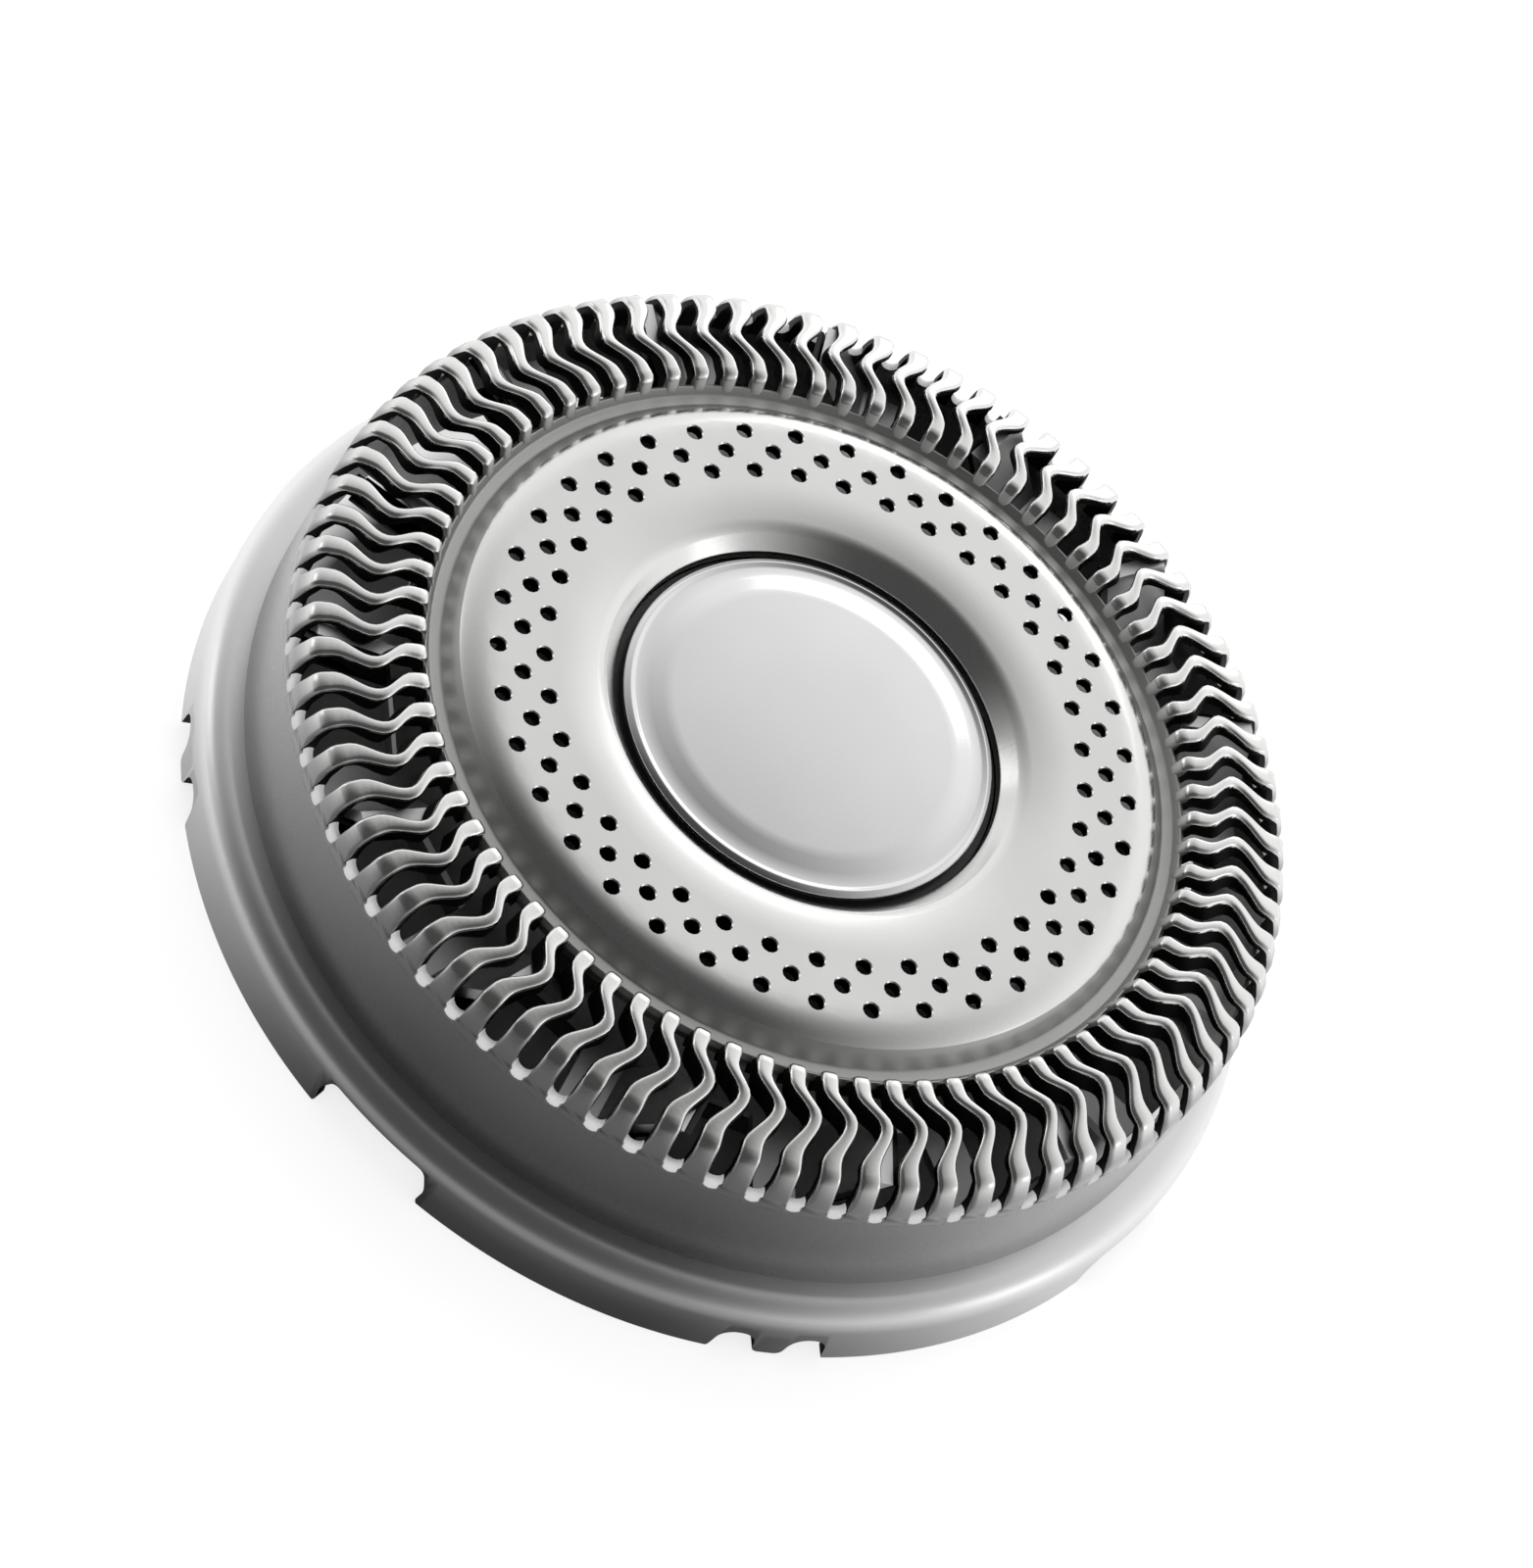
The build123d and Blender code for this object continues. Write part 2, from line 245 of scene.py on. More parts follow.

# Each slot ends in a tiny rounded cut with a painted highlight, a white bead from every side. A mirror would
# be bright on one side only, so this painted highlight is a matt white and no metal
painted_highlight_white = polished_steel("slot_end_painted_highlight", "#ffffff", 0.50, 0.05, metallic=0.0)

# Bright chrome makes the cap the clearest mirror of the head
cap_metal = polished_steel("chrome_plate_bright", "#eeeeee", 0.12, 0.05)

# %% [markdown]
# The bars run down into the wall without a seam. At their feet they take the wall's painted shade grey and
# its duller polish, and the change is spread over the shoulder, so that no line shows between the two.

# %% Let the bars darken towards the wall, into its painted shade
fade_from = 5.20
fade_to = 5.92
foot_roughness = 0.29
bar_tree = bar_steel.node_tree
bar_shader = bar_tree.nodes["Principled BSDF"]
bar_spot = bar_tree.nodes["Texture Coordinate"].outputs["Object"]
bar_polish = bar_tree.nodes["Map Range"].outputs["Result"]
bar_place = add_node(bar_tree, "ShaderNodeSeparateXYZ", {}, {0: bar_spot})
bar_fade = add_node(
    bar_tree,
    "ShaderNodeMapRange",
    {"interpolation_type": "SMOOTHSTEP"},
    {"Value": bar_place.outputs["Z"], "From Min": fade_from * MM, "From Max": fade_to * MM},
)
# The feet of the bars fade to the wall's painted shade grey
bar_painted_shade_tint = add_node(
    bar_tree,
    "ShaderNodeMix",
    {"data_type": "RGBA"},
    {0: bar_fade.outputs[0], 6: colour(wall_painted_shade_grey), 7: bar_tree.nodes["Mix"].outputs[2]},
)
bar_tree.links.new(bar_painted_shade_tint.outputs[2], bar_shader.inputs["Base Color"])
bar_gloss = add_node(
    bar_tree, "ShaderNodeMix", {}, {0: bar_fade.outputs[0], 2: foot_roughness, 3: bar_polish}
)
bar_tree.links.new(bar_gloss.outputs[0], bar_shader.inputs["Roughness"])
print("steels made")

# %% [markdown]
# ## Turned shapes
# The sheet of the guard is a solid of revolution, and so are the cap and the lips of the holes. Each
# starts as an outline of corners, each with its own bend radius. A small function swaps each corner
# for an arc, and another one turns the outline about the axis. Blender's Screw modifier could do
# that too, but a loop gives closed poles and lets the two borders of the perforated band stay open.

# %% Outlines with bent corners
def bent(corners, step=12):
    """Points of an outline whose corners are (radius, height, bend). Arcs turn step degrees a point."""
    points = []
    for i, (x, z, bend) in enumerate(corners):
        here = Vector((x, z))
        if bend == 0:
            points.append(here)
            continue
        before = (Vector(corners[i - 1][:2]) - here).normalized()
        after = (Vector(corners[(i + 1) % len(corners)][:2]) - here).normalized()
        half = before.angle(after) / 2
        centre = here + (before + after).normalized() * bend / sin(half)
        start = here + before * bend / tan(half) - centre
        turn_angle = (pi - 2 * half) * (1 if before.cross(after) < 0 else -1)
        count = max(1, round(abs(turn_angle) / radians(step)))
        for k in range(count + 1):
            points.append(centre + Matrix.Rotation(turn_angle * k / count, 2) @ start)
    return [tuple(point) for point in points]


# %% Points, turned shapes and finished pieces
def polar(radius, angle, height):
    """A point in metres, from a radius and a height in millimetres and an angle."""
    return (radius * cos(angle) * MM, radius * sin(angle) * MM, height * MM)


def piece_from(mesh, name, metals=(), smooth=False):
    """Makes an object of a mesh that is done, with its metals."""
    data = bpy.data.meshes.new(name)
    mesh.to_mesh(data)
    mesh.free()
    if smooth:
        data.shade_smooth()
    for metal in metals:
        data.materials.append(metal)
    return bpy.data.objects.new(name, data)


def turned(name, outline, sides, closed=True):
    """Turns an outline about the axis. Where it touches the axis, it ends in one point."""
    mesh = bmesh.new()
    rows = []
    for radius, height in outline:
        if radius < 1e-6:
            rows.append([mesh.verts.new((0, 0, height * MM))])
        else:
            angles = [2 * pi * k / sides for k in range(sides)]
            rows.append([mesh.verts.new(polar(radius, angle, height)) for angle in angles])
    pairs = list(zip(rows, rows[1:] + rows[:1])) if closed else list(zip(rows, rows[1:]))
    for low, high in pairs:
        for k in range(sides):
            corners = [low[k % len(low)], low[(k + 1) % len(low)]]
            corners += [high[(k + 1) % len(high)], high[k % len(high)]]
            corners = list(dict.fromkeys(corners))
            if len(corners) > 2:
                mesh.faces.new(corners)
    return put_in_scene(piece_from(mesh, name, smooth=True))


def face_out(piece, sharp_angle=40):
    """Welds a piece, turns its faces outwards, and keeps edges sharper than the angle crisp."""
    mesh = bmesh.new()
    mesh.from_mesh(piece.data)
    bmesh.ops.remove_doubles(mesh, verts=mesh.verts, dist=0.0005 * MM)
    bmesh.ops.recalc_face_normals(mesh, faces=mesh.faces)
    mesh.to_mesh(piece.data)
    mesh.free()
    piece.data.set_sharp_from_angle(angle=radians(sharp_angle))
    return piece


# %% [markdown]
# ## The shaving bars
# Seventy-nine slots are cut into the track, and what stands between them are the bars. Each runs
# from the groove up over the crest, bends sideways and back on its way, and goes down into the wall.
# One bar is built as a rounded strip along that path. Its width is what the slots leave, so the
# slot's bend and width are written as functions of the radius. Geometry Nodes then copies the bar
# round the axis.

# %% The bend and the width of a slot
slot_count = 79
slot_first_angle = 90.3


def ramp(value):
    """Rises smoothly from 0 to 1 as the value does."""
    value = min(max(value, 0), 1)
    return value * value * (3 - 2 * value)


def slot_turn(radius):
    """How far a slot has turned from its own line at a radius, in degrees."""
    return 2.55 * ramp((radius - 9.7) / 0.8) - 2.25 * ramp((radius - 10.52) / 0.93)


def slot_width(radius):
    """Width of a slot along the arc, in millimetres."""
    return 0.34 + 0.18 * ramp((radius - 9.3) / 1.1) - 0.10 * ramp((radius - 10.6) / 0.9)


print("slot at the crest:", round(slot_width(10.5), 2), "mm wide, turned", round(slot_turn(10.5), 2))

# %% The path of a bar
crest_height = face_height - 0.04
slot_foot = face_height - 1.38
foot_overlap = 0.25
bar_foot = slot_foot - foot_overlap
bar_rail = bent(
    [
        (9.03, face_height - 0.80, 0),
        (9.30, crest_height - 0.04, 0.10),
        (10.35, crest_height + 0.015, 1.2),
        (11.80, face_height - 0.39, 0.30),
        (wall_radius, face_height - 0.93, 0.45),
        (wall_radius, bar_foot, 0),
    ],
    step=9,
)
under_rail = bent(
    [
        (9.33, face_height - 0.95, 0),
        (9.52, face_height - 0.50, 0.05),
        (11.60, face_height - 0.52, 0.05),
        (wall_radius - sheet, face_height - 0.93, 0.1),
        (wall_radius - sheet, bar_foot, 0),
    ],
    step=15,
)


def lengths_along(rail):
    """Length of a rail up to each of its points."""
    lengths = [0]
    for start, end in zip(rail, rail[1:]):
        lengths.append(lengths[-1] + hypot(end[0] - start[0], end[1] - start[1]))
    return lengths


def split_evenly(rail, count):
    """Points that split a rail into count equal parts."""
    lengths = lengths_along(rail)
    points = []
    for k in range(count + 1):
        place = lengths[-1] * k / count
        i = max(j for j, length in enumerate(lengths[:-1]) if length <= place + 1e-9)
        part = (place - lengths[i]) / (lengths[i + 1] - lengths[i])
        points.append(tuple(a + (b - a) * part for a, b in zip(rail[i], rail[i + 1])))
    return points


print("a bar is", round(lengths_along(bar_rail)[-1], 2), "mm long")

# %% One bar
bar_step = 0.14
bar_round = 0.11
flush_height = slot_foot + 0.05
flush_run = 0.4


def rounding_at(height, half):
    """Rounding of a bar's edges. It dies out below, where the bar is flush with the wall."""
    return min(bar_round, half * 0.8) * (0.003 + 0.997 * ramp((height - flush_height) / flush_run))


def skin(mesh, rings, in_second_metal=None):
    """Joins rings of points by quads. The last argument says which of them get the second metal."""
    for row, (first, second) in enumerate(zip(rings, rings[1:])):
        for k in range(len(first)):
            n = (k + 1) % len(first)
            face = mesh.faces.new((first[k], first[n], second[n], second[k]))
            if in_second_metal and in_second_metal(row, k):
                face.material_index = 1


def make_bar(name):
    """One bar, standing at the angle halfway between two slots."""
    mesh = bmesh.new()
    count = round(lengths_along(bar_rail)[-1] / bar_step)
    top = split_evenly(bar_rail, count)
    under = split_evenly(under_rail, count)
    rings = []
    for i, (radius, height) in enumerate(top):
        before, after = top[max(i - 1, 0)], top[min(i + 1, count)]
        run, rise = after[0] - before[0], after[1] - before[1]
        out = Vector((-rise, 0, run)).normalized()
        if run < 0:
            out = -out
        angle = radians(slot_turn(radius) + 180 / slot_count)
        half = (2 * pi * radius / slot_count - slot_width(radius)) / 2
        rounding = rounding_at(height, half)

        # Half a cross-section as (across, depth). A depth of None lies on the underside
        section = [(-half, None), (-half, rounding)]
        for k in (1, 2):
            bow = pi / 2 * k / 3
            section.append((-half + rounding * (1 - cos(bow)), rounding * (1 - sin(bow))))
        section.append((-half + rounding, 0))
        section += [(-across, depth) for across, depth in reversed(section)]
        ring = []
        for across, depth in section:
            if depth is None:
                point = Vector((under[i][0], 0, under[i][1]))
            else:
                point = Vector((radius, 0, height)) - out * depth
            ring.append(mesh.verts.new(polar(point.x, angle + across / radius, point.z)))
        rings.append(ring)
    last = len(rings[0]) - 1
    # The flanks and the underside of a bar get the dark painted shade
    flanks_and_underside = (0, last - 1, last)
    skin(mesh, rings, lambda row, k: k in flanks_and_underside)
    mesh.faces.new(rings[0])
    mesh.faces.new(reversed(rings[-1]))
    return face_out(piece_from(mesh, name, (bar_steel, dark_painted_shade_steel), smooth=True), 50)


shaving_bar = make_bar("shaving_bar")
print("one bar:", len(shaving_bar.data.polygons), "faces")

# %% [markdown]
# Every slot ends in the wall, and the photograph shows a small bright bead there, so the end is taken
# to be round. A small piece of wall whose top dips in a half circle stands under each slot and fills
# the gap between the feet of two bars. Its border sinks behind the bars a little, so that the two
# never share a surface.

# %% One rounded slot end in the wall
lap_depth = 0.03


def make_slot_end(name):
    """The bit of wall under one slot. Its top dips in a half circle."""
    mesh = bmesh.new()
    half = slot_width(wall_radius) / 2

    # Columns as (across, rise over the slot's foot, how far they sink behind the wall's surface)
    columns = []
    for angle in range(-75, 76, 25):
        columns.append((half * sin(radians(angle)), half * (1 - cos(radians(angle))), 0))
    lap = (half + 0.02, 0.8 * half, lap_depth)
    columns = [(-lap[0], *lap[1:])] + columns + [lap]
    rings = []
    for across, rise, sunk in columns:
        top = slot_foot + rise
        section = [(0, bar_foot), (0, top - 0.15), (0.035, top - 0.06), (0.12, top)]
        section += [(sheet - 0.12, top), (sheet - 0.03, top - 0.03), (sheet, bar_foot)]
        angle = radians(slot_turn(wall_radius)) + across / wall_radius
        ring = []
        for depth, height in section:
            ring.append(mesh.verts.new(polar(wall_radius - max(depth, sunk), angle, height)))
        rings.append(ring)
    skin(mesh, rings)
    mesh.faces.new(rings[0])
    mesh.faces.new(reversed(rings[-1]))
    made = face_out(piece_from(mesh, name, (wall_painted_shade_steel, painted_highlight_white), smooth=True), 50)
    # Faces that look upwards get the painted highlight
    for face in made.data.polygons:
        if face.normal.z > 0.3:
            face.material_index = 1
    return made


slot_end = make_slot_end("slot_end")
print("one slot end:", len(slot_end.data.polygons), "faces")

# %% [markdown]
# ## The sheet of the guard
# The face and the groove are one turned shape, and the wall, ledge and rim another. The bars join
# them. Between two bars the groove's floor ends in the slot's inner end, and the rounded slot ends
# stand on the wall's top edge.

# %% Face and groove
sides = 4 * holes_per_row
band_inner = row_radii[0] - row_height / 2
band_outer = row_radii[2] + row_height / 2
under_face = face_height - sheet
border_steps = 8


def face_drop(radius):
    """How far the rounded border of the face lies below its middle, at a radius."""
    past = max(radius - face_turn_radius, 0)
    return face_round - (face_round**2 - past**2) ** 0.5


face_inner = turned(
    "face_inner",
    bent(
        [
            (band_inner, under_face, 0),
            (recess_edge_radius, under_face, 0),
            (5.25, under_face - 0.12, 0.3),
            (opening_radius + sheet, under_face - 0.42, 0.2),
            (opening_radius + sheet, face_height - collar_depth, 0.05),
            (opening_radius, face_height - collar_depth, 0.05),
            (opening_radius, face_height - 0.58, 0.12),
            (5.12, face_height - 0.145, 0.6),
            (recess_edge_radius, face_height, 4.0),
            (band_inner, face_height, 0),
        ],
        step=2.5,
    ),
    sides,
    closed=False,
)
border_run = face_end_radius - band_outer
border = [band_outer + border_run * k / border_steps for k in range(border_steps + 1)]
groove_outline = bent(
    [
        (8.61, face_height - face_drop(8.61), 0),
        (groove_inner_radius, groove_height, 0.10),
        (groove_outer_radius, groove_height, 0.08),
        (slot_inner_end, groove_height + 0.22, 0.03),
        (slot_inner_end + 0.12, groove_height + 0.10, 0.03),
        (groove_outer_radius + 0.1, groove_height - sheet, 0.1),
        (groove_inner_radius - 0.17, groove_height - sheet, 0.1),
        (8.40, under_face - 0.25, 0),
    ],
    step=10,
)
face_outer = turned(
    "face_outer",
    [(radius, face_height - face_drop(radius)) for radius in border]
    + groove_outline
    + [(radius, under_face - face_drop(radius)) for radius in (8.2, 8.05, band_outer)],
    sides,
    closed=False,
)

# %% Wall and rim
wall = turned(
    "wall",
    bent(
        [
            (wall_radius, bar_foot, 0),
            (wall_radius, ledge_height + 0.06, 0),
            (rim_radius, ledge_height, 0.66),
            (rim_radius, 0, 0.03),
            (rim_radius - sheet, 0, 0.03),
            (rim_radius - sheet, ledge_height - sheet, 0.1),
            (wall_radius - sheet, ledge_height - sheet, 0.1),
            (wall_radius - sheet, bar_foot, 0),
        ],
        step=9,
    ),
    4 * slot_count,
)
print("sheet outlines turned, the face with", sides, "sides")

# %% [markdown]
# ## Notches in the rim
# Eight cut-outs in the skirt let the frame of the shaver grip the head. Four are wide, with slanted
# sides, and four are pairs of scallops with a short tooth between them. On the real cup a press
# punches them. Here a Boolean modifier cuts them with plain blocks, because the cut edges should be
# as crisp as punched ones.

# %% Cutting blocks for the notches
block_inner_radius = 11.0
block_outer_radius = 14.5


def block(outline, angle):
    """A block pushed out through the skirt. The outline is (along the rim, height)."""
    mesh = bmesh.new()
    near = [mesh.verts.new((block_inner_radius * MM, x * MM, z * MM)) for x, z in outline]
    far = [mesh.verts.new((block_outer_radius * MM, x * MM, z * MM)) for x, z in outline]
    mesh.faces.new(near)
    mesh.faces.new(reversed(far))
    for k in range(len(near)):
        n = (k + 1) % len(near)
        mesh.faces.new((near[n], near[k], far[k], far[n]))
    bmesh.ops.transform(mesh, matrix=Matrix.Rotation(radians(angle), 4, "Z"), verts=mesh.verts)
    return face_out(piece_from(mesh, "notch_block"))


def joined(name, pieces):
    """One object from several, each already in its place."""
    mesh = bmesh.new()
    metals = []
    for piece in pieces:
        known = len(mesh.faces)
        mesh.from_mesh(piece.data)
        mesh.faces.ensure_lookup_table()
        for face in mesh.faces[known:]:
            if piece.data.materials:
                metal = piece.data.materials[face.material_index]
                if metal not in metals:
                    metals.append(metal)
                face.material_index = metals.index(metal)
    made = put_in_scene(piece_from(mesh, name, metals))
    for piece in pieces:
        bpy.data.objects.remove(piece)
    return made


def mirrored(half):
    """A whole outline from its half on the right."""
    return half + [(-x, z, bend) for x, z, bend in reversed(half)]


notch_foot = [(1.9, -1, 0), (1.9, -0.06, 0)]
wide_notch = mirrored(notch_foot + [(1.53, 0, 0.20), (1.62, 0.55, 0.6), (1.38, 1.12, 0.25)])
scallop = [(1.36, 0, 0.15), (1.24, 0.80, 0.42), (0.46, 0.80, 0.42), (0.34, 0.10, 0.18)]
double_notch = mirrored(notch_foot + scallop)
blocks = []
for k in range(4):
    blocks.append(block(bent(wide_notch), 90 * k - 90))
    blocks.append(block(bent(double_notch), 90 * k - 45))
print("cutting blocks:", len(blocks))


# %% Cut the notches
def cut(piece, tool):
    """Cuts the tool out of the piece and keeps the result as a plain mesh."""
    modifier = piece.modifiers.new("cut", "BOOLEAN")
    modifier.operation = "DIFFERENCE"
    modifier.solver = "EXACT"
    modifier.use_self = True
    modifier.object = tool
    evaluated = piece.evaluated_get(bpy.context.evaluated_depsgraph_get())
    plain = bpy.data.meshes.new_from_object(evaluated)
    piece.modifiers.clear()
    piece.data = plain
    bpy.data.objects.remove(tool)


face_out(wall)
cut(wall, joined("notch_tool", blocks))
print("wall after cutting:", len(wall.data.polygons), "faces")

# %% [markdown]
# ## What repeats round the axis
# The bars, the slot ends and the holes all repeat round the axis. One small tree of Geometry Nodes
# serves them all: it takes a piece, turns a copy of it to each of its places, and makes the copies
# real. Each piece has two metals. The tree sets the first, and leaves the faces of the second alone.

# %% A tree that copies a piece round the axis
def socket(tree, name, kind, value=None, way="INPUT"):
    """Adds a named input or output to a node tree."""
    made = tree.interface.new_socket(name=name, in_out=way, socket_type=kind)
    if value is not None:
        made.default_value = value
    return made


ring_tree = bpy.data.node_groups.new("ring_of_copies", "GeometryNodeTree")
socket(ring_tree, "Piece", "NodeSocketObject")
socket(ring_tree, "Copies", "NodeSocketInt", 12)
socket(ring_tree, "First Angle", "NodeSocketFloat", 0.0)
socket(ring_tree, "Metal", "NodeSocketMaterial")
socket(ring_tree, "Geometry", "NodeSocketGeometry", way="OUTPUT")
given = ring_tree.nodes.new("NodeGroupInput").outputs
index = ring_tree.nodes.new("GeometryNodeInputIndex").outputs[0]
pitch = add_node(ring_tree, "ShaderNodeMath", {"operation": "DIVIDE"}, {0: 2 * pi, 1: given["Copies"]})
angle = add_node(
    ring_tree,
    "ShaderNodeMath",
    {"operation": "MULTIPLY_ADD"},
    {0: index, 1: pitch.outputs[0], 2: given["First Angle"]},
)
turn_by = add_node(ring_tree, "ShaderNodeCombineXYZ", {}, {"Z": angle.outputs[0]})
places = add_node(ring_tree, "GeometryNodePoints", {}, {"Count": given["Copies"]})
original = add_node(ring_tree, "GeometryNodeObjectInfo", {}, {"Object": given["Piece"]})
copies = add_node(
    ring_tree,
    "GeometryNodeInstanceOnPoints",
    {},
    {"Points": places.outputs[0], "Instance": original.outputs["Geometry"], "Rotation": turn_by.outputs[0]},
)
solid = add_node(ring_tree, "GeometryNodeRealizeInstances", {}, {"Geometry": copies.outputs[0]})
metal_number = add_node(ring_tree, "GeometryNodeInputMaterialIndex")
in_first_metal = add_node(
    ring_tree,
    "FunctionNodeCompare",
    {"data_type": "INT", "operation": "EQUAL"},
    {2: metal_number.outputs[0], 3: 0},
)
covered = add_node(
    ring_tree,
    "GeometryNodeSetMaterial",
    {},
    {"Geometry": solid.outputs[0], "Selection": in_first_metal.outputs[0], "Material": given["Metal"]},
)
add_node(ring_tree, "NodeGroupOutput", {}, {"Geometry": covered.outputs[0]})


def ring_of(name, piece, copies, first_angle, metal):
    """Copies a piece round the axis and keeps the result as a plain mesh."""
    made = put_in_scene(bpy.data.objects.new(name, bpy.data.meshes.new(name)))
    modifier = made.modifiers.new(name, "NODES")
    modifier.node_group = ring_tree
    values = {"Piece": piece, "Copies": copies, "First Angle": radians(first_angle), "Metal": metal}
    for item in ring_tree.interface.items_tree:
        if item.name in values:
            modifier[item.identifier] = values[item.name]
    evaluated = made.evaluated_get(bpy.context.evaluated_depsgraph_get())
    plain = bpy.data.meshes.new_from_object(evaluated)
    made.modifiers.clear()
    made.data = plain
    plain.name = name
    return made


bars_piece = ring_of("ring_of_bars", shaving_bar, slot_count, slot_first_angle, bar_steel)
ends_piece = ring_of("ring_of_slot_ends", slot_end, slot_count, slot_first_angle, wall_painted_shade_steel)
print("bars:", len(bars_piece.data.polygons), "faces, slot ends:", len(ends_piece.data.polygons))

# %% [markdown]
# ## The perforated band
# Three staggered rows of small round holes go through the face. A hole is made with the bit of sheet
# round it, and 37 copies make a row. Each bit has twelve points on its border, as the hole has, so
# plain quads join them. The rows are staggered by half a bit, which is two of those points, so the
# rows weld together.

# %% One hole with the sheet round it
hole_radius = 0.19
hole_lip = 0.025
hole_bevel = 0.03
hole_sides = 12


def make_hole(name, radius):
    """One hole at this radius on the x axis, with its share of the face."""
    mesh = bmesh.new()
    arc = pi / holes_per_row
    low, high = radius - row_height / 2, radius + row_height / 2
    border = [(high, arc * k / 2) for k in (0, 1)] + [(high, arc), (radius, arc), (low, arc)]
    border += [(low, arc / 2), (low, 0), (low, -arc / 2), (low, -arc), (radius, -arc), (high, -arc)]
    border += [(high, -arc / 2)]

    # From the border down through the hole and out again, as (radius in the hole, share of the way
    # to the border, depth)
    lip_radius = hole_radius + hole_lip
    path = [(lip_radius, 1, 0), (lip_radius, 0.4, 0), (lip_radius, 0, 0)]
    path += [(hole_radius, 0, hole_bevel), (hole_radius, 0, sheet - hole_bevel)]
    path += [(lip_radius, 0, sheet), (lip_radius, 0.4, sheet), (lip_radius, 1, sheet)]
    bore_rows = (3, 4)
    rings = []
    for reach, share, depth in path:
        ring = []
        for k, (far, turned_by) in enumerate(border):
            angle = 2 * pi * k / hole_sides
            edge = Vector((far * cos(turned_by), far * sin(turned_by)))
            round_point = Vector((radius, 0)) + Vector((cos(angle), sin(angle))) * reach
            point = round_point.lerp(edge, share)
            height = face_height - face_drop(point.length) - depth
            ring.append(mesh.verts.new((point.x * MM, point.y * MM, height * MM)))
        rings.append(ring)
    # The bores of the holes get the dark painted shade
    skin(mesh, rings, lambda row, k: row in bore_rows)
    return piece_from(mesh, name, (face_steel, dark_painted_shade_steel), smooth=True)


# %% Three rows of holes
rows = []
for k, radius in enumerate(row_radii):
    shift = 0 if k == 1 else 180 / holes_per_row
    one_hole = make_hole("one_hole", radius)
    rows.append(ring_of("hole_row", one_hole, holes_per_row, 90 + shift, face_steel))
    bpy.data.objects.remove(one_hole)
print("holes:", 3 * holes_per_row, "faces:", sum(len(row.data.polygons) for row in rows))

# %% [markdown]
# ## One guard
# The real guard is one piece of steel with several finishes, so all its parts become one object.
# The groove, the skirt and the punched edges of the notches get their own steels by their place. The punched
# edges get the dark painted shade.

# %% Join the guard
groove_steel_radius = 8.5
skirt_steel_height = ledge_height + 0.10
punched_low = 0.05
punched_high = 1.5
for metal in (face_steel, groove_steel):
    face_outer.data.materials.append(metal)
face_inner.data.materials.append(face_steel)
for polygon in face_outer.data.polygons:
    if hypot(polygon.center.x, polygon.center.y) > groove_steel_radius * MM:
        polygon.material_index = 1
wall.data.materials.clear()
for metal in (wall_painted_shade_steel, skirt_steel, dark_painted_shade_steel):
    wall.data.materials.append(metal)
for polygon in wall.data.polygons:
    if polygon.center.z < skirt_steel_height * MM:
        polygon.material_index = 1
    # Faces in the notches that look sideways get the dark painted shade
    outwards = polygon.center.xy.normalized().dot(polygon.normal.xy)
    if punched_low * MM < polygon.center.z < punched_high * MM and abs(outwards) < 0.5:
        polygon.material_index = 2
face = face_out(joined("face_sheet", [face_inner, face_outer] + rows), 35)
guard = joined("guard_cup", [face, wall, bars_piece, ends_piece])
print(len(guard.data.materials), "steels on the guard")
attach(guard, "head")
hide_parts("guard")
print("guard:", len(guard.data.polygons), "faces")

# %% [markdown]
# ## The cap
# The bright disc in the middle snaps into the boss below it. Its top is plain, with a thin raised lip
# round a gently sloping edge.

# %% The cap
cap_underside = cap_floor + 1.62
stem_radius = 1.0
centre_cap = face_out(
    turned(
        "trim_cap",
        bent(
            [
                (0, cap_top - 0.02, 0),
                (3.50, cap_top - 0.02, 0.9),
                (3.98, cap_top - 0.165, 0.8),
                (cap_radius - 0.26, cap_top - 0.185, 0.12),
                (cap_radius - 0.15, cap_top - 0.125, 0.06),
                (cap_radius, cap_top - 0.20, 0.08),
                (cap_radius, cap_floor + 1.75, 0.08),
                (cap_radius - 0.3, cap_underside, 0.08),
                (stem_radius, cap_underside, 0.05),
                (stem_radius, cap_floor, 0.1),
                (0, cap_floor, 0),
            ]
        ),
        128,
        closed=False,
    )
)
centre_cap.data.materials.append(cap_metal)
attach(centre_cap, "head")
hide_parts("centre_cap")
print("cap top at", round(cap_top, 2), "mm")

# %% [markdown]
# ## The boss and the cutter
# The boss and the carrier are moulded plastic. The blades and the springy lifters in front of them
# are thin hardened steel. Their CAD shapes are right, so they only get their materials.

# %% Plastic and blade steel
grain_size = 0.12


def moulded_plastic(name, base, roughness):
    """Moulded plastic with a fine grain, as spark-eroded moulds give it."""
    material, tree, shader = new_material(name, roughness=roughness)
    coords = add_node(tree, "ShaderNodeTexCoord")
    grain = add_node(
        tree,
        "ShaderNodeTexNoise",
        {"noise_dimensions": "3D"},
        {"Vector": coords.outputs["Object"], "Scale": 1 / (grain_size * MM), "Detail": 2.0},
    )
    bump = add_node(
        tree,
        "ShaderNodeBump",
        {},
        {"Height": grain.outputs["Fac"], "Strength": 0.25, "Distance": 0.02 * MM},
    )
    tree.links.new(bump.outputs["Normal"], shader.inputs["Normal"])
    shader.inputs["Base Color"].default_value = colour(base)
    return material


# Black acetal behind the cap makes the thin dark ring round it
boss_plastic = moulded_plastic("acetal_moulded_black", "#1a1a1b", 0.45)

# The carrier is as dark, so that only the blades show in the slots
carrier_plastic = moulded_plastic("acetal_moulded_grey", "#202022", 0.5)

# Ground blades catch the light and give the bright streaks in the slots
blade_steel = polished_steel("hardened_steel_ground", "#ececec", 0.45, 0.04)

